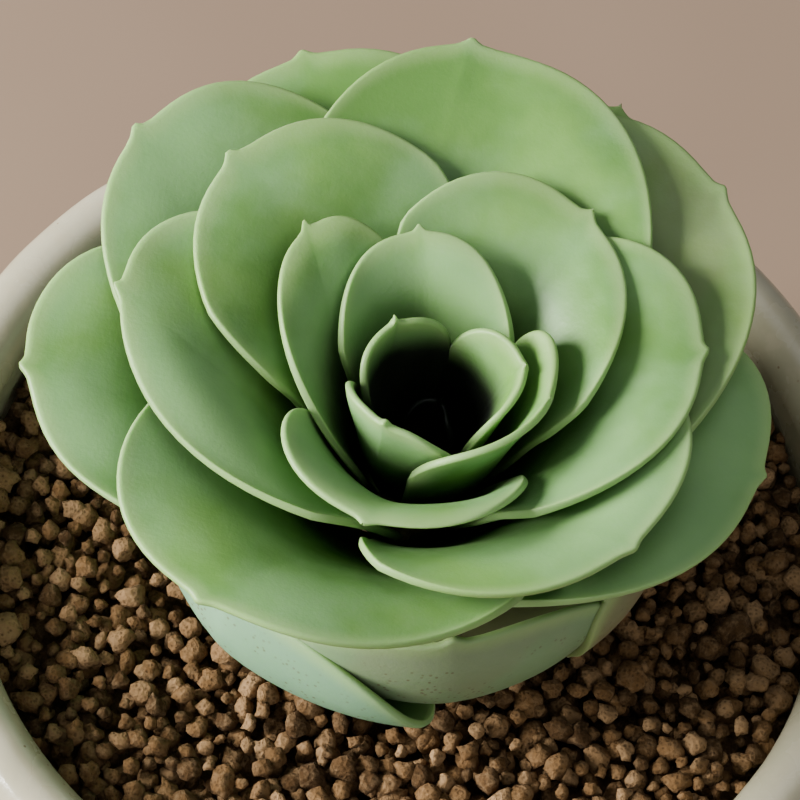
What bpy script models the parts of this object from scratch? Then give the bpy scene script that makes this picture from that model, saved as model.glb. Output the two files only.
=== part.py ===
"""A mountain-rose succulent growing in a small glazed jar of clay granules.

Units are metres, +Z is up, the front faces -Y, and the origin is the centre of the jar's foot.
The rosette is a set of separate leaves. Each leaf lies on its own cup, a shell turned about the
rosette's axis, and the cups nest one inside the next, so that leaves overlap without touching.
"""
import math

import bmesh
import bpy
from mathutils import Vector, noise

GAP = 0.0003
GOLDEN_ANGLE = math.radians(137.5)

# Jar: a glazed pot with a thick rounded rim, a foot ring and a drain hole.
JAR_HEIGHT = 0.080
RIM_OUTER = 0.0485
RIM_INNER = 0.0420
RIM_ROUND = (RIM_OUTER - RIM_INNER) / 2
WALL_INNER = 0.0420
BELLY_OUTER = 0.0490
FLOOR_TOP = 0.0085
FLOOR_RADIUS = 0.0330
FOOT_OUTER = 0.0340
FOOT_INNER = 0.0285
FOOT_HEIGHT = 0.0030
DRAIN_RADIUS = 0.0065
JAR_SEGMENTS = 48

# Drain mesh: a square of plastic net over the hole.
MESH_CELL = 0.0022
MESH_HOLES = 4
MESH_THICKNESS = 0.0008

# Soil: granules filling the jar to just below the rim, modelled as one bed.
SOIL_LEVEL = JAR_HEIGHT - 0.0062
SOIL_BUMP = 0.0009
SOIL_DIP = 0.0010
SOIL_DIP_RADIUS = 0.018
SOIL_DIP_BLEND = 0.008
BUMPS_PER_METRE = 330
SOIL_RINGS = 11
SOIL_SEGMENTS = 48

# Stem: a short woody stock that carries the leaves, with its root end in the soil.
STEM_FOOT_RADIUS = 0.0046
STEM_TOP_RADIUS = 0.0012
STEM_TOP = 0.0165
STEM_TAPER = 1.2
STOCK_DEPTH = 0.0150
STEM_SEGMENTS = 20
STEM_STEPS = 6

# Rosette: leaves are numbered from FIRST in the bud to LAST at the soil.
FIRST = -5
LAST = 24
FIRST_AZIMUTH = math.radians(104)
ROOT_TOP = 0.0155
ROOT_STEP = 0.0005
ROOT_CLEAR = 0.0010
CUP_INNER = 0.0042
CUP_STEP = 0.00070
CUP_RISE = 0.50
CUP_UPRIGHT = 0.97
LIP_START = 0.0125
LIP_STEP = 0.0023
LIP_SLOW_FROM = 8
LIP_SLOW_STEP = 0.0005
LIP_SLOW_COUNT = 5
LIP_HEIGHT = 0.0350
LIP_DROP_FROM = 5
LIP_DROP = 0.0003
LAST_TALL = 16
LOW_BELLY = 0.0238
LOW_BELLY_STEP = 0.00050
LOW_LIP_INSET = 0.0030
LOW_LIP_HEIGHT = 0.0255
LOW_HEIGHT_STEP = 0.0010
LOW_UPRIGHT = 0.60
LEAN = (-0.0025, 0.0048)
BLADE_START = 0.0040
BLADE_STEP = 0.00175
BLADE_WIDEST = 0.0210
CLAW_WIDTH = 0.42
WIDEST_ANGLE = 0.98
YOUNG_WIDEST_ANGLE = 1.15
FIRST_WIDE = 5
TURN_POWER = 1.2
WIDEST_AT = 0.60
ARCH = 2.7
BLADE_THICKNESS = 0.0011
YOUNG_THICKNESS = 0.0007
FIRST_GROWN = 5
MARGIN_THICKNESS = 0.00045
MARGIN_ACROSS = 0.45
MARGIN_ALONG = 0.30
MUCRO_SHARE = 0.018
MUCRO_WIDTH = 0.10
ARC_STEPS = 40
LEAF_COLUMNS = 8
LEAF_ROWS = 6

# Leaves that differ from the rule: turn of the lip (degrees), lip radius and lip height, which are
# added to the rule's, and width, length and lean, which multiply it.
LEAF_HABIT = {
    -5: (0, 0.0, 0.0, 0.90, 0.36, 1.0),
    -4: (0, 0.0, 0.0, 0.90, 0.40, 1.0),
    -3: (-24, 0.0010, -0.0010, 1.10, 1.0, 1.0),
    -2: (-3, 0.0002, 0.0, 1.15, 1.0, 1.0),
    -1: (0, -0.0028, 0.0, 1.10, 1.0, 1.0),
    0: (0, 0.0014, 0.0, 0.80, 1.0, 1.0),
    1: (14, -0.0016, 0.0, 0.95, 1.0, 2.0),
    2: (-46, -0.0012, 0.0, 0.60, 1.0, 1.0),
    3: (-2, 0.0015, 0.0, 0.95, 1.0, 1.0),
    4: (-15, -0.0044, 0.0, 1.00, 1.0, 0.1),
    5: (4, 0.0, 0.0, 0.90, 1.0, 1.0),
    6: (7, 0.0003, 0.0, 0.84, 1.0, 1.0),
    7: (-36, -0.0015, 0.0, 0.86, 1.0, 1.0),
    8: (-4, 0.0006, 0.0010, 1.0, 1.0, 1.0),
    9: (15, -0.0025, 0.0, 1.02, 1.0, 1.0),
    10: (-20, 0.0008, 0.0, 0.92, 1.0, 1.0),
    11: (8, 0.0014, 0.0, 1.0, 1.0, 1.0),
    12: (-8, 0.0008, 0.0, 1.05, 1.0, 1.0),
    13: (2, -0.0008, -0.0015, 1.0, 1.0, 1.0),
    14: (12, 0.0010, -0.0040, 0.90, 1.0, 1.0),
    15: (-4, 0.0020, -0.0010, 0.9, 1.0, 1.0),
    16: (0, 0.0020, -0.0035, 1.0, 1.0, 1.0),
    17: (0, 0.0, 0.0, 0.95, 1.0, 1.0),
    18: (0, 0.0, -0.0030, 0.80, 0.90, 1.0),
    19: (-27, 0.0, 0.0, 0.64, 1.0, 1.0),
    20: (0, 0.0, 0.0, 0.95, 1.0, 1.0),
    22: (0, 0.0, 0.0, 0.50, 0.45, 1.0),
    23: (0, 0.0, 0.0, 0.55, 0.50, 1.0),
}
PLAIN_HABIT = (0, 0.0, 0.0, 1.0, 1.0, 1.0)


def new_object(name, bm, colour, roughness, metallic=0.0):
    """Make an object of a bmesh, with a material of its own and smooth round faces."""
    bmesh.ops.recalc_face_normals(bm, faces=bm.faces)
    mesh = bpy.data.meshes.new(name)
    bm.to_mesh(mesh)
    bm.free()
    mesh.shade_smooth()
    mesh.set_sharp_from_angle(angle=math.radians(40))
    material = bpy.data.materials.new(name)
    material.use_nodes = True
    shader = material.node_tree.nodes["Principled BSDF"]
    shader.inputs["Base Color"].default_value = (*colour, 1)
    shader.inputs["Roughness"].default_value = roughness
    shader.inputs["Metallic"].default_value = metallic
    mesh.materials.append(material)
    obj = bpy.data.objects.new(name, mesh)
    bpy.context.collection.objects.link(obj)
    return obj


def turned(bm, profile, segments):
    """Join rings of points (radius, height) about Z; a closed profile gives a closed ring."""
    rings = []
    for radius, height in profile:
        ring = []
        for step in range(segments):
            angle = 2 * math.pi * step / segments
            ring.append(bm.verts.new((radius * math.cos(angle), radius * math.sin(angle), height)))
        rings.append(ring)
    return rings


def join_rings(bm, first, second):
    """Bridge two rings that have the same number of points."""
    count = len(first)
    for step in range(count):
        after = (step + 1) % count
        bm.faces.new((first[step], first[after], second[after], second[step]))


def arc(centre, radius, start, end, steps):
    """Points (radius, height) on an arc in the profile plane, angles in degrees."""
    points = []
    for step in range(steps + 1):
        angle = math.radians(start + (end - start) * step / steps)
        points.append((centre[0] + radius * math.cos(angle), centre[1] + radius * math.sin(angle)))
    return points


def bezier(controls, t):
    """Point on a cubic curve of four (radius, height) controls."""
    weights = ((1 - t) ** 3, 3 * t * (1 - t) ** 2, 3 * t * t * (1 - t), t ** 3)
    return tuple(sum(w * p[axis] for w, p in zip(weights, controls)) for axis in (0, 1))


def jar_inside(steps):
    """The jar's inner wall from the rim down to the floor's edge."""
    rim_low = JAR_HEIGHT - RIM_ROUND
    controls = (
        (WALL_INNER, rim_low),
        (WALL_INNER + 0.0010, rim_low * 0.6),
        (WALL_INNER, FLOOR_TOP),
        (FLOOR_RADIUS, FLOOR_TOP),
    )
    return [bezier(controls, step / steps) for step in range(steps + 1)]


def jar_outside(steps):
    """The jar's outer wall from the foot up to the rim."""
    rim_low = JAR_HEIGHT - RIM_ROUND
    controls = (
        (FOOT_OUTER + 0.0015, FOOT_HEIGHT),
        (BELLY_OUTER + 0.0010, FOOT_HEIGHT + 0.002),
        (BELLY_OUTER + 0.0004, rim_low * 0.55),
        (RIM_OUTER, rim_low),
    )
    return [bezier(controls, step / steps) for step in range(steps + 1)]


def make_jar():
    bm = bmesh.new()
    rim_centre = (RIM_INNER + RIM_ROUND, JAR_HEIGHT - RIM_ROUND)
    foot = [
        (DRAIN_RADIUS, FOOT_HEIGHT),
        (FOOT_INNER, FOOT_HEIGHT),
        (FOOT_INNER + 0.0010, 0.0),
        (FOOT_OUTER - 0.0010, 0.0),
        (FOOT_OUTER, 0.0010),
    ]
    rim = arc(rim_centre, RIM_ROUND, 0, 180, 8)
    profile = foot + jar_outside(9) + rim[1:-1] + jar_inside(8) + [(DRAIN_RADIUS, FLOOR_TOP)]
    rings = turned(bm, profile, JAR_SEGMENTS)
    for ring, following in zip(rings, rings[1:] + rings[:1]):
        join_rings(bm, ring, following)
    new_object("jar", bm, (0.71, 0.66, 0.55), 0.22)


def make_drain_mesh():
    """A flat net: a grid of square cells with every second cell left open."""
    bm = bmesh.new()
    cells = 2 * MESH_HOLES + 1
    half = cells * MESH_CELL / 2
    corners = {}
    for row in range(cells + 1):
        for column in range(cells + 1):
            place = (column * MESH_CELL - half, row * MESH_CELL - half, FLOOR_TOP + GAP)
            corners[row, column] = bm.verts.new(place)
    for row in range(cells):
        for column in range(cells):
            if row % 2 and column % 2:
                continue
            bm.faces.new((
                corners[row, column],
                corners[row, column + 1],
                corners[row + 1, column + 1],
                corners[row + 1, column],
            ))
    raised = bmesh.ops.extrude_face_region(bm, geom=bm.faces[:])["geom"]
    for item in raised:
        if isinstance(item, bmesh.types.BMVert):
            item.co.z += MESH_THICKNESS
    new_object("drain_mesh", bm, (0.05, 0.05, 0.05), 0.6)


def soil_top(radius, angle):
    """Height of the granule bed: low under the rosette and bumpy outside it."""
    spread = min(1.0, max(0.0, (radius - SOIL_DIP_RADIUS) / SOIL_DIP_BLEND))
    place = Vector((radius * math.cos(angle), radius * math.sin(angle), 0.0)) * BUMPS_PER_METRE
    return SOIL_LEVEL - SOIL_DIP * (1 - spread) + SOIL_BUMP * spread * noise.noise(place)


def make_soil():
    bm = bmesh.new()
    mesh_top = FLOOR_TOP + MESH_THICKNESS + 2 * GAP
    socket = STEM_FOOT_RADIUS + GAP
    bottom = SOIL_LEVEL - STOCK_DEPTH - GAP
    outer = [(radius - GAP, height) for radius, height in jar_inside(8) if height < SOIL_LEVEL - 0.003]
    profile = [(socket * 0.5, bottom), (socket, bottom + 0.003)]
    top_start = len(profile)
    edge = WALL_INNER - GAP
    for step in range(SOIL_RINGS + 1):
        profile.append((socket + (edge - socket) * step / SOIL_RINGS, SOIL_LEVEL))
    top_end = len(profile)
    for radius, height in outer:
        profile.append((radius, max(height, mesh_top)))
    rings = turned(bm, profile, SOIL_SEGMENTS)
    for ring in rings[top_start:top_end]:
        for vert in ring:
            vert.co.z = soil_top(math.hypot(vert.co.x, vert.co.y), math.atan2(vert.co.y, vert.co.x))
    for ring, following in zip(rings, rings[1:]):
        join_rings(bm, ring, following)
    bm.faces.new(rings[0])
    bm.faces.new(rings[-1])
    new_object("soil", bm, (0.33, 0.20, 0.10), 0.95)


def make_stem():
    """The stock tapers upwards through the rosette and downwards into a rounded root end."""
    bm = bmesh.new()
    profile = [
        (STEM_FOOT_RADIUS * 0.35, -STOCK_DEPTH + GAP),
        (STEM_FOOT_RADIUS * 0.80, -STOCK_DEPTH + 0.0036),
        (STEM_FOOT_RADIUS, -0.004),
    ]
    for step in range(STEM_STEPS + 1):
        height = (STEM_TOP - STEM_TOP_RADIUS * 0.5) * step / STEM_STEPS
        profile.append((stem_radius(height), height))
    profile.append((STEM_TOP_RADIUS * 0.6, STEM_TOP))
    rings = turned(bm, [(radius, SOIL_LEVEL + height) for radius, height in profile], STEM_SEGMENTS)
    for ring, following in zip(rings, rings[1:]):
        join_rings(bm, ring, following)
    bm.faces.new(rings[0])
    bm.faces.new(rings[-1])
    new_object("stem", bm, (0.42, 0.36, 0.22), 0.8)


def stem_radius(height):
    """Radius of the stem at a height above the soil."""
    share = min(1.0, max(0.0, height / STEM_TOP))
    return STEM_FOOT_RADIUS + (STEM_TOP_RADIUS - STEM_FOOT_RADIUS) * share ** STEM_TAPER


def cup(number, flare, rise):
    """Four controls (radius, height above soil) of the cup that a leaf lies on."""
    order = number - FIRST
    root_height = ROOT_TOP - ROOT_STEP * order
    belly = CUP_INNER + CUP_STEP * order
    root = stem_radius(root_height) + ROOT_CLEAR
    lip = LIP_START + LIP_STEP * min(number, LIP_SLOW_FROM)
    lip += LIP_SLOW_STEP * min(max(number - LIP_SLOW_FROM, 0), LIP_SLOW_COUNT)
    height = LIP_HEIGHT - LIP_DROP * max(0, number - LIP_DROP_FROM)
    low_share = CUP_RISE
    high_share = CUP_UPRIGHT
    below = number - LAST_TALL
    if below > 0:
        belly = LOW_BELLY + LOW_BELLY_STEP * below
        lip = belly - LOW_LIP_INSET
        height = LOW_LIP_HEIGHT - LOW_HEIGHT_STEP * below
        low_share = 0.0
        high_share = LOW_UPRIGHT
    return (
        (root, root_height),
        (max(root, belly), root_height + low_share * (height - root_height)),
        (belly, root_height + high_share * (height - root_height)),
        (lip + flare, height + rise),
    )


def lean_share(number):
    """How far a cup follows the rosette's lean: the bud and the low cups stand straight."""
    if number > LAST_TALL:
        return 0.0
    return min(1.0, max(0.0, (number + 1) / 5))


def smooth(share):
    """Smooth step from 0 to 1, clamped."""
    share = min(1.0, max(0.0, share))
    return share * share * (3 - 2 * share)


class Leaf:
    """One leaf: a rounded blade on a narrow claw, wrapped round its own cup."""

    def __init__(self, number):
        turn, flare, rise, width, length, follow = LEAF_HABIT.get(number, PLAIN_HABIT)
        self.number = number
        self.azimuth = FIRST_AZIMUTH - GOLDEN_ANGLE * number
        self.turn = math.radians(turn)
        self.controls = cup(number, flare, rise)
        self.length = length
        self.table = self.measure()
        self.lean = follow * lean_share(number)
        self.half_width = min(BLADE_WIDEST, BLADE_START + BLADE_STEP * (number - FIRST)) * width
        self.widest_angle = YOUNG_WIDEST_ANGLE if number < FIRST_WIDE else WIDEST_ANGLE

    def measure(self):
        """Curve parameter against arc length."""
        table = [(0.0, 0.0)]
        before = bezier(self.controls, 0.0)
        total = 0.0
        for step in range(1, ARC_STEPS + 1):
            point = bezier(self.controls, step / ARC_STEPS)
            total += math.hypot(point[0] - before[0], point[1] - before[1])
            table.append((total, step / ARC_STEPS))
            before = point
        return table

    def section(self, share):
        """Point (radius, height, curve parameter) at a share of the leaf's own length."""
        target = share * self.length * self.table[-1][0]
        for (low, t_low), (high, t_high) in zip(self.table, self.table[1:]):
            if target <= high:
                break
        t = t_low + (t_high - t_low) * (target - low) / (high - low)
        return (*bezier(self.controls, t), t)

    def half_width_at(self, share, radius):
        """Half width along the cup: a narrow claw that opens into the blade."""
        claw = CLAW_WIDTH * radius
        half = claw + (self.half_width - claw) * smooth(share / WIDEST_AT)
        return min(half, self.widest_angle * radius)

    def edge_share(self, across):
        """Where the blade ends for a column: a round top with a small point in the middle."""
        arch = math.sqrt(max(0.0, 1 - abs(across) ** ARCH))
        point = max(0.0, 1 - abs(across) / MUCRO_WIDTH)
        return WIDEST_AT + (1 - WIDEST_AT) * arch - MUCRO_SHARE * (1 - point)

    def surface(self, across, along):
        """Point of the leaf's middle surface; across is -1 to 1, along is 0 to 1."""
        share = along * self.edge_share(across)
        radius, height, t = self.section(share)
        angle = self.azimuth + self.turn * share ** TURN_POWER
        angle += across * self.half_width_at(share, radius) / radius
        lean = self.lean * t ** 3
        x = radius * math.cos(angle) + LEAN[0] * lean
        y = radius * math.sin(angle) + LEAN[1] * lean
        return Vector((x, y, SOIL_LEVEL + height))

    def normal(self, across, along):
        """Unit vector that points out of the rosette."""
        step = 0.01
        side = self.surface(min(1, across + step), along) - self.surface(max(-1, across - step), along)
        rise = self.surface(across, min(1, along + step)) - self.surface(across, max(0, along - step))
        return side.cross(rise).normalized()

    def thickness(self, across, along):
        """Full in the middle, thin at the margin."""
        inset = min(1.0, (1 - abs(across)) / MARGIN_ACROSS) * min(1.0, (1 - along) / MARGIN_ALONG)
        middle = YOUNG_THICKNESS if self.number < FIRST_GROWN else BLADE_THICKNESS
        return MARGIN_THICKNESS + (middle - MARGIN_THICKNESS) * math.sqrt(inset)


def make_leaf(number):
    leaf = Leaf(number)
    bm = bmesh.new()
    sheets = []
    for side in (-0.5, 0.5):
        sheet = []
        for row in range(LEAF_ROWS + 1):
            line = []
            for column in range(LEAF_COLUMNS + 1):
                across = math.sin(math.pi / 2 * (2 * column / LEAF_COLUMNS - 1))
                along = row / LEAF_ROWS
                offset = leaf.normal(across, along) * leaf.thickness(across, along) * side
                line.append(bm.verts.new(leaf.surface(across, along) + offset))
            sheet.append(line)
        sheets.append(sheet)
    inner, outer = sheets
    for row in range(LEAF_ROWS):
        for column in range(LEAF_COLUMNS):
            for sheet in sheets:
                bm.faces.new((
                    sheet[row][column],
                    sheet[row][column + 1],
                    sheet[row + 1][column + 1],
                    sheet[row + 1][column],
                ))
    border = [(0, column) for column in range(LEAF_COLUMNS)]
    border += [(row, LEAF_COLUMNS) for row in range(LEAF_ROWS)]
    border += [(LEAF_ROWS, column) for column in range(LEAF_COLUMNS, 0, -1)]
    border += [(row, 0) for row in range(LEAF_ROWS, 0, -1)]
    for here, after in zip(border, border[1:] + border[:1]):
        bm.faces.new((
            inner[here[0]][here[1]],
            inner[after[0]][after[1]],
            outer[after[0]][after[1]],
            outer[here[0]][here[1]],
        ))
    bmesh.ops.triangulate(bm, faces=bm.faces[:])
    new_object(f"leaf_{number - FIRST + 1:02d}", bm, (0.36, 0.50, 0.30), 0.5)


def main():
    for obj in list(bpy.data.objects):
        bpy.data.objects.remove(obj, do_unlink=True)
    make_jar()
    make_drain_mesh()
    make_soil()
    make_stem()
    for number in range(FIRST, LAST + 1):
        make_leaf(number)


main()
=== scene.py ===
"""Looks of the succulent in a jar: detailed leaves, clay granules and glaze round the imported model.

Units are metres, +Z is up and the front faces -Y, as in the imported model. The leaves follow the
same nested cups as the model's own leaves, with rounded margins, waves and small tips added.
"""
import math
import random

import bmesh
import bpy
import numpy as np
from mathutils import Matrix, Vector, noise


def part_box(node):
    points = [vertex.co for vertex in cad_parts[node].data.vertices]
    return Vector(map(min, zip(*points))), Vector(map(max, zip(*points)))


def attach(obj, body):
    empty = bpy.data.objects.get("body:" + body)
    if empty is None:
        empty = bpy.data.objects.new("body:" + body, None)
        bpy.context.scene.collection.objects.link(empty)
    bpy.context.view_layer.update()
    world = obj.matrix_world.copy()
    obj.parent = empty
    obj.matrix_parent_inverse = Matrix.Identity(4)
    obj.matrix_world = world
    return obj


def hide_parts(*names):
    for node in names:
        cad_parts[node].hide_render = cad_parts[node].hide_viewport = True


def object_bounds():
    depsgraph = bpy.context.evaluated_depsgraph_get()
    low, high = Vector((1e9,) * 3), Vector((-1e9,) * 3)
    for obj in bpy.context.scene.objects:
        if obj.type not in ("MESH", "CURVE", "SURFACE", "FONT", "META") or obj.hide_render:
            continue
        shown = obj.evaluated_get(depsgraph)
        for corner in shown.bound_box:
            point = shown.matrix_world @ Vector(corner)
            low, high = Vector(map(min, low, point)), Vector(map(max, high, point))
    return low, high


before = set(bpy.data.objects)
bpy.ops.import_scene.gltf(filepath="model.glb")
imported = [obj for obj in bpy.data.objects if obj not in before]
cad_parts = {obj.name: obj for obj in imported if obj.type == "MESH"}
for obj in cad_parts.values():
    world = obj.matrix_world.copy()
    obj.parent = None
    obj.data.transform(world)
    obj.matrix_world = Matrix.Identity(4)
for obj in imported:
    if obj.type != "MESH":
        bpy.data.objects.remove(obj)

cad_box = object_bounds()

GOLDEN_ANGLE = math.radians(137.5)

# Jar and soil, as in the model.
RIM_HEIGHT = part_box("jar")[1].z
RIM_OUTER = 0.0485
RIM_INNER = 0.0420
RIM_ROUND = (RIM_OUTER - RIM_INNER) / 2
RIM_LOW = RIM_HEIGHT - RIM_ROUND
FLOOR_TOP = 0.0085
FLOOR_RADIUS = 0.0330
FOOT_HEIGHT = 0.0030
FOOT_INNER = 0.0285
FOOT_OUTER = 0.0340
DRAIN_RADIUS = 0.0065
SOIL_LEVEL = RIM_HEIGHT - 0.0062

# The glaze lies a little inside the model's wall, so that its slow unevenness stays within it.
GLAZE_INSET = 0.00025
GLAZE_WAVE = 0.00022
GLAZE_RIPPLE = 0.00007
GLAZE_STRETCH = 14
EVEN_BELOW = 0.010
WIDEST_GLAZE = RIM_OUTER + 0.0004
JAR_STEPS = 192

# Stem, as in the model.
STEM_FOOT_RADIUS = 0.0046
STEM_TOP_RADIUS = 0.0012
STEM_TOP = 0.0165
STEM_TAPER = 1.2

# Rosette: leaves are numbered from FIRST in the bud to LAST at the soil.
FIRST = -5
LAST = 24
FIRST_AZIMUTH = math.radians(104)
ROOT_TOP = 0.0155
ROOT_STEP = 0.0005
ROOT_CLEAR = 0.0010
CUP_INNER = 0.0042
CUP_STEP = 0.00070
CUP_RISE = 0.50
CUP_UPRIGHT = 0.97
LIP_START = 0.0125
LIP_STEP = 0.0023
LIP_SLOW_FROM = 8
LIP_SLOW_STEP = 0.0005
LIP_SLOW_COUNT = 5
LIP_HEIGHT = 0.0350
LIP_DROP_FROM = 5
LIP_DROP = 0.0003
LAST_TALL = 16
LOW_BELLY = 0.0238
LOW_BELLY_STEP = 0.00050
LOW_LIP_INSET = 0.0030
LOW_LIP_HEIGHT = 0.0255
LOW_HEIGHT_STEP = 0.0010
LOW_UPRIGHT = 0.60
LEAN = (-0.0025, 0.0048)
BLADE_START = 0.0040
BLADE_STEP = 0.00175
BLADE_WIDEST = 0.0210
CLAW_WIDTH = 0.42
WIDEST_ANGLE = 0.98
YOUNG_WIDEST_ANGLE = 1.15
FIRST_WIDE = 5
TURN_POWER = 1.2
WIDEST_AT = 0.60
ARCH = 2.7
BLADE_THICKNESS = 0.0011
YOUNG_THICKNESS = 0.0007
FIRST_GROWN = 5
MARGIN_THICKNESS = 0.0008
ARC_STEPS = 80

# Finish of a leaf: its small tip, the lip's waves, the channel down its middle and its grid.
TIP_LENGTH = 0.0008
TIP_WIDTH = 0.040
TIP_FALL = 1.4
LIP_TRIM = 0.0006
LONGEST_SHARE = 1.03
WAVES_FROM = 0.55
CHANNEL_DEPTH = 0.0003
CHANNEL_WIDTH = 0.22
UNEVENNESS = 0.00018
SLOW_ACROSS = 3.1
SLOW_ALONG = 7.3
PHASE_STEP = 2.399
ROUND_START = 0.0005
ROUND_END = 0.005
LEAF_COLUMNS = 48
LEAF_ROWS = 40
ROW_CROWDING = 1.6
TIP_COLUMNS = (-0.05, -0.028, -0.012, 0.012, 0.028, 0.05)
NORMAL_STEP = 0.004
TOP_EASE = 0.0007

# Painted shade down in the bud, which darkens the leaves' colour in its hollow: the depths below the lips
# where it starts and where it is full.
HOLLOW_START = 0.0008
HOLLOW_LAST = -3
BUD_START = 0.0028
BUD_FADE = 0.0055
BUD_OUTER_PAINTED_SHADE = 0.3
YOUNG_PAINTED_SHADE = 0.45
YOUNG_PAINTED_SHADE_DEPTHS = (0.0015, 0.0090)

# Leaves that differ from the rule: turn of the lip (degrees), lip radius and lip height, which are
# added to the rule's, and width, length and lean, which multiply it.
LEAF_HABIT = {
    -5: (0, 0.0, 0.0, 0.90, 0.36, 1.0),
    -4: (0, 0.0, 0.0, 0.90, 0.40, 1.0),
    -3: (-24, 0.0010, -0.0010, 1.10, 1.0, 1.0),
    -2: (-3, 0.0002, 0.0, 1.15, 1.0, 1.0),
    -1: (0, -0.0028, 0.0, 1.10, 1.0, 1.0),
    0: (0, 0.0014, 0.0, 0.80, 1.0, 1.0),
    1: (14, -0.0016, 0.0, 0.95, 1.0, 2.0),
    2: (-46, -0.0012, 0.0, 0.60, 1.0, 1.0),
    3: (-2, 0.0015, 0.0, 0.95, 1.0, 1.0),
    4: (-15, -0.0044, 0.0, 1.00, 1.0, 0.1),
    5: (4, 0.0, 0.0, 0.90, 1.0, 1.0),
    6: (7, 0.0003, 0.0, 0.84, 1.0, 1.0),
    7: (-36, -0.0015, 0.0, 0.86, 1.0, 1.0),
    8: (-4, 0.0006, 0.0010, 1.0, 1.0, 1.0),
    9: (15, -0.0025, 0.0, 1.02, 1.0, 1.0),
    10: (-20, 0.0008, 0.0, 0.92, 1.0, 1.0),
    11: (8, 0.0014, 0.0, 1.0, 1.0, 1.0),
    12: (-8, 0.0008, 0.0, 1.05, 1.0, 1.0),
    13: (2, -0.0008, -0.0015, 1.0, 1.0, 1.0),
    14: (12, 0.0010, -0.0040, 0.90, 1.0, 1.0),
    15: (-4, 0.0020, -0.0010, 0.9, 1.0, 1.0),
    16: (0, 0.0020, -0.0035, 1.0, 1.0, 1.0),
    17: (0, 0.0, 0.0, 0.95, 1.0, 1.0),
    18: (0, 0.0, -0.0030, 0.80, 0.90, 1.0),
    19: (-27, 0.0, 0.0, 0.64, 1.0, 1.0),
    20: (0, 0.0, 0.0, 0.95, 1.0, 1.0),
    22: (0, 0.0, 0.0, 0.50, 0.45, 1.0),
    23: (0, 0.0, 0.0, 0.55, 0.50, 1.0),
}
PLAIN_HABIT = (0, 0.0, 0.0, 1.0, 1.0, 1.0)

# Where some leaves' small tips sit across the lip, instead of in the middle.
TIP_PLACE = {8: 0.25, 10: 0.10, 5: 0.12}

# How many waves a lip has, and how deep they are.
LIP_WAVES = {
    5: (1.5, 0.0005),
    7: (1.8, 0.0006),
    12: (1.6, 0.0007),
    15: (2.6, 0.0006),
    16: (2.2, 0.0006),
}
PLAIN_WAVES = (1.3, 0.00035)

# How far a leaf has turned tan, from 0 to 1.
TAN = {11: 0.25, 17: 0.3, 19: 0.85, 24: 0.3}


# ---------------------------------------------------------------- materials

def new_material(name):
    """A material with its shader; returns the material, its node tree and the shader."""
    material = bpy.data.materials.new(name)
    material.use_nodes = True
    tree = material.node_tree
    return material, tree, tree.nodes["Principled BSDF"]


def link(tree, source, target):
    tree.links.new(source, target)


def attribute(tree, name):
    """A number stored on the mesh's points."""
    node = tree.nodes.new("ShaderNodeAttribute")
    node.attribute_name = name
    return node.outputs["Fac"]


def place(tree):
    """The point's own place on the object, in metres."""
    return tree.nodes.new("ShaderNodeTexCoord").outputs["Object"]


def clouds(tree, scale, detail=3.0, rough=0.55):
    """Noise over the object's own coordinates; scale is in features per metre."""
    node = tree.nodes.new("ShaderNodeTexNoise")
    node.inputs["Scale"].default_value = scale
    node.inputs["Detail"].default_value = detail
    node.inputs["Roughness"].default_value = rough
    link(tree, place(tree), node.inputs["Vector"])
    return node.outputs["Fac"]


def cells(tree, scale):
    """Distance to the nearest of many scattered points; scale is in points per metre."""
    node = tree.nodes.new("ShaderNodeTexVoronoi")
    node.inputs["Scale"].default_value = scale
    link(tree, place(tree), node.inputs["Vector"])
    return node.outputs["Distance"]


def between(tree, value, low, high, to_low=0.0, to_high=1.0):
    """Map low..high to to_low..to_high with a smooth step, clamped."""
    node = tree.nodes.new("ShaderNodeMapRange")
    node.interpolation_type = "SMOOTHSTEP"
    node.inputs["From Min"].default_value = low
    node.inputs["From Max"].default_value = high
    node.inputs["To Min"].default_value = to_low
    node.inputs["To Max"].default_value = to_high
    link(tree, value, node.inputs["Value"])
    return node.outputs["Result"]


def maths(tree, operation, first, second):
    node = tree.nodes.new("ShaderNodeMath")
    node.operation = operation
    for socket, value in zip(node.inputs, (first, second)):
        if isinstance(value, (int, float)):
            socket.default_value = value
        else:
            link(tree, value, socket)
    return node.outputs[0]


def times(tree, first, second):
    return maths(tree, "MULTIPLY", first, second)


def blend(tree, share, first, second):
    """Mix two colours, each a tuple or an output, by a share."""
    node = tree.nodes.new("ShaderNodeMix")
    node.data_type = "RGBA"
    link(tree, share, node.inputs[0])
    for socket, value in ((node.inputs[6], first), (node.inputs[7], second)):
        if isinstance(value, tuple):
            socket.default_value = (*value, 1)
        else:
            link(tree, value, socket)
    return node.outputs[2]


def bump(tree, shader, height, strength, distance):
    node = tree.nodes.new("ShaderNodeBump")
    node.inputs["Strength"].default_value = strength
    node.inputs["Distance"].default_value = distance
    link(tree, height, node.inputs["Height"])
    link(tree, node.outputs["Normal"], shader.inputs["Normal"])


def leaf_flesh(tree, along):
    """Green flesh, darker towards the base, partly its own deeper green and partly painted shade down in the
    cups, with lighter and powdery patches towards the lip.
    """
    base_green_and_painted_shade = (0.020, 0.066, 0.005)
    fresh_green = (0.096, 0.225, 0.040)
    light_green = (0.145, 0.295, 0.062)
    powder = (0.205, 0.38, 0.165)
    towards_lip = between(tree, along, 0.3, 0.9)
    # Darker towards the base: partly the leaf's own deeper green, partly painted shade down in the cups.
    colour = blend(tree, between(tree, along, 0.32, 0.92), base_green_and_painted_shade, fresh_green)
    lighter = times(tree, between(tree, clouds(tree, 90), 0.35, 0.70), towards_lip)
    colour = blend(tree, lighter, colour, light_green)
    bloom = times(tree, between(tree, clouds(tree, 55, 4), 0.38, 0.60), 0.55)
    return blend(tree, times(tree, bloom, towards_lip), colour, powder)


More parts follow.
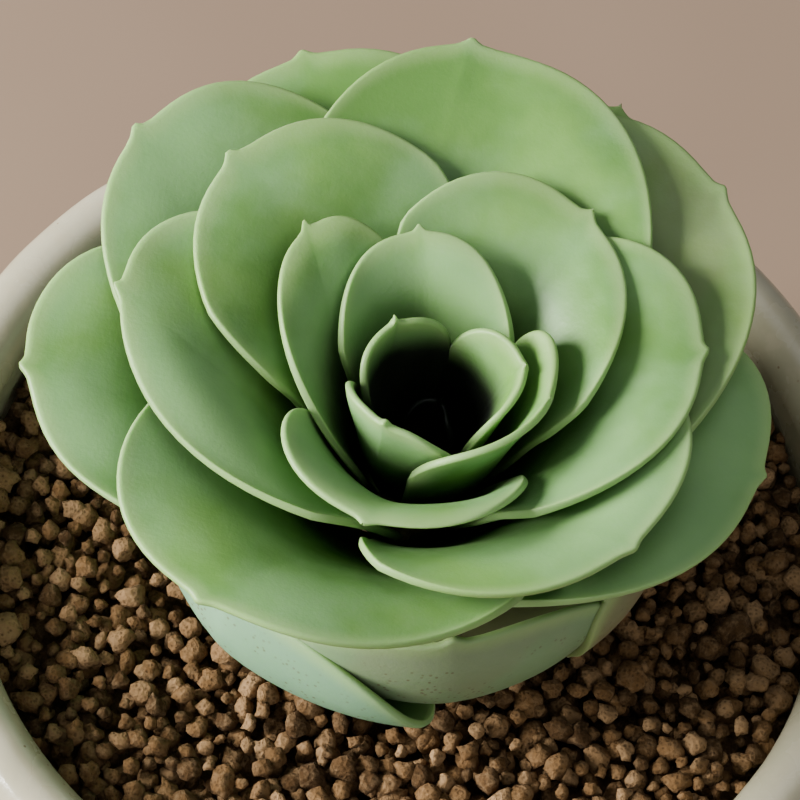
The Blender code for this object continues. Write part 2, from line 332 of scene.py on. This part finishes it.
def leaf_ageing(tree, colour, outer, age, tan):
    """Grey-green dust on the outer faces of old leaves, and a brown blush on the tan ones."""
    dusty = times(tree, times(tree, outer, between(tree, age, 0.45, 0.9)), 0.75)
    colour = blend(tree, dusty, colour, (0.18, 0.33, 0.22))
    blush = times(tree, between(tree, clouds(tree, 70, 2), 0.45, 0.6), times(tree, tan, 0.8))
    colour = blend(tree, blush, colour, (0.25, 0.21, 0.15))
    return blend(tree, times(tree, tan, 0.85), colour, (0.20, 0.150, 0.070))


def leaf_specks(tree, colour, outer, age, along):
    """Fine brown specks low on the outer faces of old leaves."""
    speck = between(tree, cells(tree, 1500), 0.16, 0.30, 1.0, 0.0)
    some = between(tree, clouds(tree, 260, 2), 0.46, 0.54)
    low = between(tree, along, 0.80, 1.0, 1.0, 0.0)
    where = times(tree, low, times(tree, outer, between(tree, age, 0.6, 0.8)))
    speck = times(tree, times(tree, speck, some), where)
    return blend(tree, times(tree, speck, 0.8), colour, (0.10, 0.055, 0.022))


def leaf_material():
    """Waxy leaf: green flesh, pale margin, powdery bloom, specks on the outer face of old leaves, and
    painted shade down in the bud.
    """
    material, tree, shader = new_material("waxy_leaf")
    age = attribute(tree, "age")
    outer = attribute(tree, "outer")
    along = attribute(tree, "along")
    colour = leaf_flesh(tree, along)
    colour = leaf_ageing(tree, colour, outer, age, attribute(tree, "tan"))
    pale_margin = (0.29, 0.43, 0.155)
    edge = maths(tree, "ADD", attribute(tree, "rim_mm"), times(tree, clouds(tree, 400, 2), 0.5))
    margin = times(tree, between(tree, edge, 0.40, 2.4, 1.0, 0.0), 0.55)
    colour = blend(tree, margin, colour, pale_margin)
    colour = leaf_specks(tree, colour, outer, age, along)
    # Painted shade: the bud's leaves turn nearly black down in the hollow, where real shade would fall.
    painted_shade_black = (0.004, 0.006, 0.003)
    colour = blend(tree, attribute(tree, "painted_deep_shade"), colour, painted_shade_black)
    link(tree, colour, shader.inputs["Base Color"])
    link(tree, between(tree, clouds(tree, 300, 3), 0.3, 0.7, 0.42, 0.58), shader.inputs["Roughness"])
    shader.inputs["Subsurface Weight"].default_value = 0.35
    shader.inputs["Subsurface Radius"].default_value = (0.6, 1.0, 0.35)
    shader.inputs["Subsurface Scale"].default_value = 0.0016
    shader.inputs["Specular IOR Level"].default_value = 0.35
    bump(tree, shader, clouds(tree, 2600, 3), 0.12, 0.0002)
    return material


def granule_material():
    """Dry fired clay: each granule its own brown, with a dusty porous surface."""
    material, tree, shader = new_material("clay_granule")
    shade = attribute(tree, "shade")
    dark_clay = (0.052, 0.026, 0.009)
    brown_clay = (0.165, 0.088, 0.034)
    pale_clay = (0.30, 0.180, 0.085)
    dust_colour = (0.29, 0.185, 0.095)
    pit_colour = (0.05, 0.026, 0.011)
    colour = blend(tree, between(tree, shade, 0.0, 0.55), dark_clay, brown_clay)
    colour = blend(tree, between(tree, shade, 0.55, 1.0), colour, pale_clay)
    dust = between(tree, clouds(tree, 900, 4, 0.65), 0.42, 0.68)
    colour = blend(tree, times(tree, dust, 0.40), colour, dust_colour)
    pits = between(tree, cells(tree, 2000), 0.10, 0.42, 1.0, 0.0)
    colour = blend(tree, times(tree, pits, 0.62), colour, pit_colour)
    link(tree, colour, shader.inputs["Base Color"])
    link(tree, between(tree, clouds(tree, 700), 0.3, 0.7, 0.85, 1.0), shader.inputs["Roughness"])
    shader.inputs["Specular IOR Level"].default_value = 0.15
    grain = maths(tree, "ADD", clouds(tree, 2400, 5, 0.7), times(tree, cells(tree, 2000), 0.8))
    bump(tree, shader, grain, 0.9, 0.0004)
    return material


def glaze_material():
    """Cream glaze with fine iron specks, darker and greenish inside the rim as painted shade and a painted
    green reflection of the leaves.
    """
    material, tree, shader = new_material("cream_glaze")
    inside = attribute(tree, "inside")
    cream = (0.34, 0.31, 0.21)
    pale_cream = (0.42, 0.385, 0.28)
    greenish_painted_shade = (0.30, 0.285, 0.18)
    warm_cloud = (0.42, 0.36, 0.25)
    iron_speck = (0.17, 0.10, 0.05)
    colour = blend(tree, between(tree, clouds(tree, 60, 4), 0.35, 0.65), cream, pale_cream)
    # Painted shade and painted green reflection of the leaves on the inner side of the rim and wall.
    colour = blend(tree, times(tree, inside, 0.7), colour, greenish_painted_shade)
    cloudy = times(tree, between(tree, clouds(tree, 500, 3), 0.50, 0.68), 0.35)
    colour = blend(tree, cloudy, colour, warm_cloud)
    speck = between(tree, cells(tree, 750), 0.06, 0.14, 1.0, 0.0)
    some = between(tree, clouds(tree, 330, 2), 0.52, 0.60)
    speck = times(tree, times(tree, speck, some), 0.85)
    colour = blend(tree, speck, colour, iron_speck)
    link(tree, colour, shader.inputs["Base Color"])
    link(tree, between(tree, clouds(tree, 220, 3), 0.3, 0.7, 0.16, 0.34), shader.inputs["Roughness"])
    shader.inputs["Specular IOR Level"].default_value = 0.5
    bump(tree, shader, clouds(tree, 420, 4), 0.10, 0.0004)
    return material


def bark_material():
    """Dull brown bark, rough and a little mottled."""
    material, tree, shader = new_material("woody_stem")
    dark_bark = (0.10, 0.07, 0.035)
    pale_bark = (0.27, 0.22, 0.12)
    colour = blend(tree, between(tree, clouds(tree, 500, 5), 0.35, 0.65), dark_bark, pale_bark)
    link(tree, colour, shader.inputs["Base Color"])
    shader.inputs["Roughness"].default_value = 0.85
    bump(tree, shader, clouds(tree, 900, 5), 0.6, 0.0003)
    return material


def net_material():
    """Black plastic of the drain mesh."""
    material, tree, shader = new_material("drain_net")
    black = (0.015, 0.015, 0.015)
    worn_black = (0.035, 0.035, 0.033)
    colour = blend(tree, between(tree, clouds(tree, 800, 3), 0.4, 0.6), black, worn_black)
    link(tree, colour, shader.inputs["Base Color"])
    link(tree, between(tree, clouds(tree, 1500, 2), 0.3, 0.7, 0.45, 0.65), shader.inputs["Roughness"])
    return material


def floor_material():
    """Plain warm floor."""
    material, tree, shader = new_material("pale_floor")
    warm_grey = (0.220, 0.148, 0.100)
    warm_light = (0.245, 0.168, 0.115)
    colour = blend(tree, between(tree, clouds(tree, 6, 3), 0.35, 0.65), warm_grey, warm_light)
    link(tree, colour, shader.inputs["Base Color"])
    shader.inputs["Roughness"].default_value = 0.9
    return material


# ---------------------------------------------------------------- mesh helpers

def add_mesh(name, points, faces, material, smooth=True):
    mesh = bpy.data.meshes.new(name)
    mesh.from_pydata([tuple(p) for p in points], [], [tuple(f) for f in faces])
    mesh.validate()
    if smooth:
        mesh.shade_smooth()
    mesh.materials.append(material)
    obj = bpy.data.objects.new(name, mesh)
    bpy.context.scene.collection.objects.link(obj)
    return obj


def store(obj, name, values):
    """Keep one number per point for the material."""
    layer = obj.data.attributes.new(name, "FLOAT", "POINT")
    layer.data.foreach_set("value", np.asarray(values, np.float32).ravel())


def smooth_step(value, low, high):
    share = np.clip((value - low) / (high - low), 0.0, 1.0)
    return share * share * (3 - 2 * share)


# ---------------------------------------------------------------- leaves

def bezier(controls, t):
    """Points (radius, height) on a cubic curve of four controls."""
    controls = np.asarray(controls)
    t = np.asarray(t)[..., None]
    weights = ((1 - t) ** 3, 3 * t * (1 - t) ** 2, 3 * t * t * (1 - t), t ** 3)
    return sum(w * c for w, c in zip(weights, controls))


def stem_radius(height):
    share = min(1.0, max(0.0, height / STEM_TOP))
    return STEM_FOOT_RADIUS + (STEM_TOP_RADIUS - STEM_FOOT_RADIUS) * share ** STEM_TAPER


def cup(number, flare, rise):
    """Four controls (radius, height above soil) of the cup that a leaf lies on."""
    order = number - FIRST
    root_height = ROOT_TOP - ROOT_STEP * order
    belly = CUP_INNER + CUP_STEP * order
    root = stem_radius(root_height) + ROOT_CLEAR
    lip = LIP_START + LIP_STEP * min(number, LIP_SLOW_FROM)
    lip += LIP_SLOW_STEP * min(max(number - LIP_SLOW_FROM, 0), LIP_SLOW_COUNT)
    height = LIP_HEIGHT - LIP_DROP * max(0, number - LIP_DROP_FROM)
    low_share = CUP_RISE
    high_share = CUP_UPRIGHT
    below = number - LAST_TALL
    if below > 0:
        belly = LOW_BELLY + LOW_BELLY_STEP * below
        lip = belly - LOW_LIP_INSET
        height = LOW_LIP_HEIGHT - LOW_HEIGHT_STEP * below
        low_share = 0.0
        high_share = LOW_UPRIGHT
    return (
        (root, root_height),
        (max(root, belly), root_height + low_share * (height - root_height)),
        (belly, root_height + high_share * (height - root_height)),
        (lip + flare, height + rise),
    )


def lean_share(number):
    """How far a cup follows the rosette's lean: the bud and the low cups stand straight."""
    if number > LAST_TALL:
        return 0.0
    return min(1.0, max(0.0, (number + 1) / 5))


class Leaf:
    """One leaf: a rounded blade on a narrow claw, wrapped round its own cup."""

    def __init__(self, number):
        turn, flare, rise, width, length, follow = LEAF_HABIT.get(number, PLAIN_HABIT)
        self.azimuth = FIRST_AZIMUTH - GOLDEN_ANGLE * number
        self.turn = math.radians(turn)
        self.controls = cup(number, flare, rise)
        self.lean = follow * lean_share(number)
        steps = bezier(self.controls, np.linspace(0, 1, ARC_STEPS + 1))
        lengths = np.hypot(*np.diff(steps, axis=0).T)
        self.measured = np.concatenate([[0.0], np.cumsum(lengths)])
        self.length = self.measured[-1] * length
        self.half_width = min(BLADE_WIDEST, BLADE_START + BLADE_STEP * (number - FIRST)) * width
        self.widest_angle = YOUNG_WIDEST_ANGLE if number < FIRST_WIDE else WIDEST_ANGLE
        self.tip_place = TIP_PLACE.get(number, 0.0)
        self.waves = LIP_WAVES.get(number, PLAIN_WAVES)
        self.phase = (number * PHASE_STEP) % (2 * math.pi)

    def edge_share(self, across):
        """Where the blade ends for a column: a round top with a small point."""
        arch = np.sqrt(np.clip(1 - np.abs(across) ** ARCH, 0, 1))
        tip = TIP_LENGTH * np.exp(-np.abs((across - self.tip_place) / TIP_WIDTH) ** TIP_FALL)
        extra = (tip - LIP_TRIM) / self.length * np.clip(arch * 3, 0, 1)
        return WIDEST_AT + (1 - WIDEST_AT) * arch + extra

    def surface(self, across, along):
        """Points of the middle surface, for arrays across (-1 to 1) and along (0 to 1)."""
        share = np.minimum(along * self.edge_share(across), LONGEST_SHARE)
        reach = share * self.length
        t = np.interp(reach, self.measured, np.linspace(0, 1, ARC_STEPS + 1))
        flat = bezier(self.controls, t)
        radius, height = flat[..., 0], flat[..., 1]
        open_up = smooth_step(share, 0.0, WIDEST_AT)
        claw = CLAW_WIDTH * radius
        half = np.minimum(claw + (self.half_width - claw) * open_up, self.widest_angle * radius)
        angle = self.azimuth + self.turn * share ** TURN_POWER + across * half / radius
        lean = self.lean * t ** 3
        x = radius * np.cos(angle) + LEAN[0] * lean
        y = radius * np.sin(angle) + LEAN[1] * lean
        return np.stack([x, y, height + SOIL_LEVEL], -1), half

    def normals(self, across, along):
        """Unit vectors that point out of the rosette."""
        side = self.surface(np.minimum(across + NORMAL_STEP, 1), along)[0]
        side = side - self.surface(np.maximum(across - NORMAL_STEP, -1), along)[0]
        up = self.surface(across, np.minimum(along + NORMAL_STEP, 1))[0]
        up = up - self.surface(across, np.maximum(along - NORMAL_STEP, 0))[0]
        out = np.cross(side, up)
        return out / np.maximum(np.linalg.norm(out, axis=-1, keepdims=True), 1e-12)

    def relief(self, across, along):
        """Waves of the lip, a shallow channel down the middle and a slow unevenness."""
        count, depth = self.waves
        high = smooth_step(along, WAVES_FROM, 1.0)
        wave = depth * high * np.sin(across * count * math.pi + self.phase)
        channel = CHANNEL_DEPTH * np.exp(-(across / CHANNEL_WIDTH) ** 2) * smooth_step(along, 0.2, 0.7)
        slow = np.sin(across * SLOW_ACROSS + self.phase * 2) * np.sin(along * SLOW_ALONG + self.phase)
        return wave + channel + UNEVENNESS * slow


def below_top(heights):
    """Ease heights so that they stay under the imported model's top."""
    start = cad_box[1].z - TOP_EASE
    over = np.clip(heights - start, 0, None)
    return np.minimum(heights, start) + TOP_EASE * (1 - np.exp(-over / TOP_EASE))


def leaf_grid(tip_place):
    """Places across and along a leaf: columns crowd at the sides and the tip, rows at the lip."""
    columns = np.sin(np.linspace(-math.pi / 2, math.pi / 2, LEAF_COLUMNS + 1))
    columns = np.sort(np.concatenate([columns, tip_place + np.array(TIP_COLUMNS)]))
    rows = 1 - (1 - np.linspace(0, 1, LEAF_ROWS + 1)) ** ROW_CROWDING
    return np.meshgrid(columns, rows)


def painted_shade_of_depth(number, heights):
    """Painted shade of the bud's leaves, darker with depth below the lips, which turns nearly black down in
    the hollow of the innermost.
    """
    if number >= FIRST_WIDE:
        return np.zeros(len(heights))
    depths = SOIL_LEVEL + LIP_HEIGHT - heights
    if number >= 0:
        return YOUNG_PAINTED_SHADE * smooth_step(depths, *YOUNG_PAINTED_SHADE_DEPTHS)
    start = HOLLOW_START if number <= HOLLOW_LAST else BUD_START
    return smooth_step(depths, start, start + BUD_FADE)


def leaf_thickness(number, rim):
    """Thickness at each distance from the leaf's edge: a rounded margin, then a fuller middle."""
    thick = YOUNG_THICKNESS if number < FIRST_GROWN else BLADE_THICKNESS
    edge = min(MARGIN_THICKNESS, thick)
    round_off = np.sqrt(np.clip(1 - (1 - np.clip(rim / (edge / 2), 0, 1)) ** 2, 0, 1))
    return edge * round_off + (thick - edge) * smooth_step(rim, ROUND_START, ROUND_END)


def shell_faces(row_count, column_count):
    """Faces of two sheets of points that share the points of their border."""
    size = row_count * column_count
    first = np.arange(size).reshape(row_count, column_count)
    second = first + size
    second[[0, -1], :] = first[[0, -1], :]
    second[:, [0, -1]] = first[:, [0, -1]]
    faces = []
    for row in range(row_count - 1):
        for column in range(column_count - 1):
            corners = ((row, column), (row, column + 1), (row + 1, column + 1), (row + 1, column))
            faces.append([int(first[corner]) for corner in (corners[0], corners[3], corners[2], corners[1])])
            faces.append([int(second[corner]) for corner in corners])
    return faces


def make_leaf(number, material):
    """One finished leaf: two sheets that meet at a rounded edge."""
    leaf = Leaf(number)
    across, along = leaf_grid(leaf.tip_place)
    middle, half = leaf.surface(across, along)
    out = leaf.normals(across, along)
    middle = middle + out * leaf.relief(across, along)[..., None]
    to_lip = (1 - along) * leaf.edge_share(across) * leaf.length
    to_side = (1 - np.abs(across)) * half
    rim = to_lip * to_side / np.maximum(np.hypot(to_lip, to_side), 1e-9)
    thickness = leaf_thickness(number, rim)
    sheets = [middle + out * (thickness * side / 2)[..., None] for side in (-1, 1)]
    points = np.concatenate([sheet.reshape(-1, 3) for sheet in sheets])
    points[:, 2] = below_top(points[:, 2])
    faces = np.array(shell_faces(*across.shape))
    used = np.zeros(len(points), bool)
    used[faces] = True
    kept = np.cumsum(used) - 1
    outer = np.repeat([0.0, 1.0], across.size)
    # Painted shade in the bud's hollow; above the innermost leaves the outer sheets get only part of it.
    outer_painted_shade = 1.0 if number <= HOLLOW_LAST else BUD_OUTER_PAINTED_SHADE
    painted_deep_shade = painted_shade_of_depth(number, points[:, 2]) * np.where(outer > 0, outer_painted_shade, 1.0)
    node = f"leaf_{number - FIRST + 1:02d}"
    obj = add_mesh(node.replace("leaf_", "leaf_skin_"), points[used], kept[faces].tolist(), material)
    for name, values in (
        ("rim_mm", np.tile(rim.ravel() * 1000, 2)),
        ("along", np.tile(along.ravel(), 2)),
        ("painted_deep_shade", painted_deep_shade),
        ("outer", outer),
        ("age", np.full(len(points), (number - FIRST) / (LAST - FIRST))),
        ("tan", np.full(len(points), TAN.get(number, 0.0))),
    ):
        store(obj, name, values[used])
    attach(obj, "root")
    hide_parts(node)


# ---------------------------------------------------------------- granules

GRANULE_SIZE = (0.0013, 0.0030)
GRANULES_PER_PIECE = 560
GRANULE_SHAPES = 18
CRUMB_CUTS = 7
CUT_SHARPNESS = 0.95
CRUMB_SEED = 100

# Lumps on a crumb: how many to its radius, and how deep beside its radius.
CRUMB_LUMPS = ((1.4, 0.42), (3.2, 0.30), (6.5, 0.20))

# Where the granules lie: layers (depth, spacing), and how far each strays from its layer.
SCATTER_SEED = 11
SCATTER_TRIES = 40000
SIZE_POWER = 1.5
GRANULES_FROM = 0.0100
SOIL_EDGE = RIM_INNER + 0.0002
WALL_CLEAR = 0.8
GRANULE_LAYERS = ((0.0, 0.00170), (0.0013, 0.00185), (0.0026, 0.00220))
GRANULE_SINK = 0.0006
GRANULE_JUMP = 0.0007
SURFACE_SWELL = 0.0006
SWELLS_PER_METRE = 90
CEILING_RADII = (0.006, 0.012, 0.018, 0.022, 0.0255)
CEILING_HEIGHTS = (0.0, 0.0002, 0.0008, 0.0020, 0.0050)

# The mass of soil below the loose granules.
BED_DEPTH = 0.0046
BED_LUMP = 0.0009
BED_LUMPS_PER_METRE = 520
BED_RINGS = 46
BED_STEPS = 160
BED_INNER = 0.0052
BED_BOTTOM = 0.0105
BED_SHOULDER = 0.030
BED_FLOOR_RADIUS = 0.034
BED_SHADE = 0.15


def ball(subdivisions):
    """Points and triangles of a unit icosphere."""
    bm = bmesh.new()
    bmesh.ops.create_icosphere(bm, subdivisions=subdivisions, radius=1.0)
    points = np.array([v.co for v in bm.verts])
    faces = np.array([[v.index for v in f.verts] for f in bm.faces])
    bm.free()
    return points, faces


def random_direction(rng):
    return Vector((rng.gauss(0, 1), rng.gauss(0, 1), rng.gauss(0, 1)))


def crumb(points, seed):
    """A lumpy crumb: a ball cut by random planes and roughened by noise."""
    rng = random.Random(seed)
    shape = points.copy()
    for _ in range(CRUMB_CUTS):
        direction = random_direction(rng).normalized()
        limit = rng.uniform(0.60, 0.92)
        depth = shape @ np.array(direction)
        over = np.clip(depth - limit, 0, None)
        shape -= over[:, None] * np.array(direction) * CUT_SHARPNESS
    offset = Vector((rng.uniform(0, 50), rng.uniform(0, 50), rng.uniform(0, 50)))
    rough = [
        sum(depth * noise.noise(Vector(point) * scale + offset) for scale, depth in CRUMB_LUMPS)
        for point in points
    ]
    shape *= (1 + np.array(rough))[:, None]
    squash = np.array([rng.uniform(0.75, 1.15), rng.uniform(0.75, 1.15), rng.uniform(0.70, 1.05)])
    return shape * squash


def scatter(rng, low, high, spacing, tries):
    """Places between two radii, no two nearer than the spacing."""
    places = []
    grid = {}
    for _ in range(tries):
        radius = math.sqrt(rng.uniform(low * low, high * high))
        angle = rng.uniform(0, 2 * math.pi)
        x, y = radius * math.cos(angle), radius * math.sin(angle)
        key = (int(x // spacing), int(y // spacing))
        near = [grid.get((key[0] + i, key[1] + j), ()) for i in (-1, 0, 1) for j in (-1, 0, 1)]
        if all(math.hypot(x - p, y - q) >= spacing for group in near for p, q in group):
            grid.setdefault(key, []).append((x, y))
            places.append((x, y))
    return places


def ceiling(radius):
    """Highest a granule may reach above the soil's level, so that it stays under the lowest leaves."""
    return float(np.interp(radius, CEILING_RADII, CEILING_HEIGHTS))


def scatter_granules(sphere):
    """Points and shade of every granule, layer by layer from the top."""
    shapes = [crumb(sphere, CRUMB_SEED + i) for i in range(GRANULE_SHAPES)]
    rng = random.Random(SCATTER_SEED)
    smallest, largest = GRANULE_SIZE
    grains = []
    for depth, spacing in GRANULE_LAYERS:
        for x, y in scatter(rng, GRANULES_FROM, SOIL_EDGE, spacing, SCATTER_TRIES):
            size = (smallest + (largest - smallest) * rng.random() ** SIZE_POWER) / 2
            radius = math.hypot(x, y)
            if radius + size * WALL_CLEAR > SOIL_EDGE:
                continue
            turn = Matrix.Rotation(rng.uniform(0, 6.28), 3, random_direction(rng))
            shape = shapes[rng.randrange(len(shapes))] @ np.array(turn).T * size
            height = SOIL_LEVEL - depth - GRANULE_SINK + rng.uniform(-GRANULE_JUMP, GRANULE_JUMP)
            height += SURFACE_SWELL * noise.noise(Vector((x, y, 0)) * SWELLS_PER_METRE)
            height = min(height, SOIL_LEVEL + ceiling(radius) - size)
            grains.append((shape + np.array([x, y, height]), rng.random()))
    return grains


def make_granules(material):
    """The loose granules on top of the soil, in pieces of a limited number."""
    sphere, faces = ball(2)
    grains = scatter_granules(sphere)
    for start in range(0, len(grains), GRANULES_PER_PIECE):
        some = grains[start:start + GRANULES_PER_PIECE]
        points = np.concatenate([shape for shape, _ in some])
        triangles = np.concatenate([faces + i * len(sphere) for i in range(len(some))])
        obj = add_mesh(f"granules_{start // GRANULES_PER_PIECE + 1}", points, triangles.tolist(), material)
        store(obj, "shade", np.repeat([shade for _, shade in some], len(sphere)))
        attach(obj, "root")
        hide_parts("soil")


def ring_faces(rings, steps):
    """Faces between rings of points, the last of which joins the first."""
    faces = []
    for ring in range(rings):
        here = ring * steps
        there = (ring + 1) % rings * steps
        for step in range(steps):
            after = (step + 1) % steps
            faces.append((here + step, here + after, there + after, there + step))
    return faces


def make_bed(material):
    """The mass of the soil below the loose top granules, lumpy and dark."""
    angles = np.linspace(0, 2 * math.pi, BED_STEPS, endpoint=False)
    points = []
    for radius in np.linspace(BED_INNER, SOIL_EDGE, BED_RINGS):
        for angle in angles:
            x, y = radius * math.cos(angle), radius * math.sin(angle)
            lump = noise.noise(Vector((x, y, 0)) * BED_LUMPS_PER_METRE)
            points.append((x, y, SOIL_LEVEL - BED_DEPTH + BED_LUMP * lump))
    below = ((SOIL_EDGE, BED_SHOULDER), (BED_FLOOR_RADIUS, BED_BOTTOM), (BED_INNER, BED_BOTTOM))
    for radius, height in below:
        for angle in angles:
            points.append((radius * math.cos(angle), radius * math.sin(angle), height))
    faces = ring_faces(BED_RINGS + len(below), BED_STEPS)
    obj = add_mesh("soil_bed", points, [face[::-1] for face in faces], material)
    store(obj, "shade", np.full(len(points), BED_SHADE))
    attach(obj, "root")
    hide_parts("soil")


# ---------------------------------------------------------------- jar

def jar_profile():
    """Closed outline (radius, height, inside) of the jar's wall, from the foot round the rim."""
    middle = RIM_INNER + RIM_ROUND
    foot = [
        (DRAIN_RADIUS, FOOT_HEIGHT),
        (FOOT_INNER, FOOT_HEIGHT),
        (FOOT_INNER + 0.0005, 0.0005),
        (FOOT_INNER + 0.0010, 0.0),
        (FOOT_OUTER - 0.0010, 0.0),
        (FOOT_OUTER - 0.0003, 0.0004),
        (FOOT_OUTER, 0.0010),
    ]
    outer_controls = (
        (FOOT_OUTER + 0.0015, FOOT_HEIGHT),
        (RIM_OUTER + 0.0015, FOOT_HEIGHT + 0.0020),
        (RIM_OUTER + 0.0009, RIM_LOW * 0.55),
        (RIM_OUTER, RIM_LOW),
    )
    inner_controls = (
        (RIM_INNER, RIM_LOW),
        (RIM_INNER + 0.0010, RIM_LOW * 0.6),
        (RIM_INNER, FLOOR_TOP),
        (FLOOR_RADIUS, FLOOR_TOP),
    )
    outside = bezier(outer_controls, np.linspace(0, 1, 40))
    inside = bezier(inner_controls, np.linspace(0, 1, 36))
    angles = np.radians(np.linspace(0, 180, 33))[1:-1]
    rim = [(middle + RIM_ROUND * math.cos(a), RIM_LOW + RIM_ROUND * math.sin(a)) for a in angles]
    outline = [(radius, height, 0.0) for radius, height in foot]
    outline += [(radius, height, 0.0) for radius, height in outside]
    outline += [(radius, height, smooth_step(middle - radius, 0.0, RIM_ROUND)) for radius, height in rim]
    outline += [(radius, height, 1.0) for radius, height in inside]
    outline.append((DRAIN_RADIUS, FLOOR_TOP, 1.0))
    return outline


def make_jar(material):
    """The glazed wall, turned from its outline and slightly uneven above the foot."""
    outline = jar_profile()
    points, inside = [], []
    for radius, height, within in outline:
        for step in range(JAR_STEPS):
            angle = 2 * math.pi * step / JAR_STEPS
            spot = Vector((math.cos(angle), math.sin(angle), height * GLAZE_STRETCH))
            uneven = GLAZE_WAVE * noise.noise(spot * 2.2) + GLAZE_RIPPLE * noise.noise(spot * 9)
            uneven *= min(1.0, height / EVEN_BELOW)
            reach = min(radius + uneven - GLAZE_INSET, WIDEST_GLAZE)
            points.append((reach * math.cos(angle), reach * math.sin(angle), height))
            inside.append(within)
    obj = add_mesh("glazed_jar", points, ring_faces(len(outline), JAR_STEPS), material)
    # Share of the glaze's painted shade and green reflection, inside the rim.
    store(obj, "inside", inside)
    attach(obj, "root")
    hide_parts("jar")


# ---------------------------------------------------------------- stage

def make_floor(material):
    """A wide plain floor under the jar."""
    size = 1.6
    points = [(-size, -size, 0), (size, -size, 0), (size, size, 0), (-size, size, 0)]
    floor = add_mesh("floor", points, [(0, 1, 2, 3)], material, smooth=False)


def add_light(name, azimuth, elevation, distance, size, power, colour):
    """A square soft light that looks at the rosette."""
    data = bpy.data.lights.new(name, "AREA")
    data.shape = "SQUARE"
    data.size = size
    data.energy = power
    data.color = colour
    aim = Vector((0, 0, RIM_HEIGHT + 0.02))
    a, e = math.radians(azimuth), math.radians(elevation)
    way = Vector((math.cos(e) * math.cos(a), math.cos(e) * math.sin(a), math.sin(e)))
    light = bpy.data.objects.new(name, data)
    light.location = aim + way * distance
    light.rotation_euler = way.to_track_quat("Z", "Y").to_euler()
    bpy.context.scene.collection.objects.link(light)


def make_world():
    """Dim, slightly cool light from all round."""
    world = bpy.data.worlds.new("studio")
    world.use_nodes = True
    background = world.node_tree.nodes["Background"]
    background.inputs["Color"].default_value = (0.90, 0.95, 1.0, 1)
    background.inputs["Strength"].default_value = 0.25
    bpy.context.scene.world = world


def make_camera():
    """Looking down on the rosette from the front, tipped a little to one side."""
    elevation, roll, distance, lens = math.radians(61), math.radians(11), 0.300, 136.6
    target = Vector((-0.0025, 0.0120, RIM_HEIGHT))
    back = Vector((0, -math.cos(elevation), math.sin(elevation)))
    right = Vector((1, 0, 0))
    up = back.cross(right)
    tipped_right = right * math.cos(roll) + up * math.sin(roll)
    tipped_up = up * math.cos(roll) - right * math.sin(roll)
    data = bpy.data.cameras.new("camera")
    data.lens = lens
    data.sensor_width = 36
    data.clip_start = 0.01
    camera = bpy.data.objects.new("camera", data)
    turn = Matrix((tipped_right, tipped_up, back)).transposed()
    camera.matrix_world = Matrix.Translation(target + back * distance) @ turn.to_4x4()
    bpy.context.scene.collection.objects.link(camera)
    bpy.context.scene.camera = camera


make_camera()
leaf_look = leaf_material()
for leaf_number in range(FIRST, LAST + 1):
    make_leaf(leaf_number, leaf_look)
granule_look = granule_material()
make_granules(granule_look)
make_bed(granule_look)
make_jar(glaze_material())
for node_name, look in (("stem", bark_material()), ("drain_mesh", net_material())):
    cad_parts[node_name].data.materials.clear()
    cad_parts[node_name].data.materials.append(look)
make_floor(floor_material())
add_light("window", 192, 21, 0.70, 0.35, 22.0, (1.0, 0.99, 0.96))
add_light("sky", 60, 78, 0.80, 0.60, 1.2, (0.92, 0.96, 1.0))
add_light("room", -65, 30, 0.80, 0.50, 1.8, (1.0, 0.97, 0.92))
make_world()
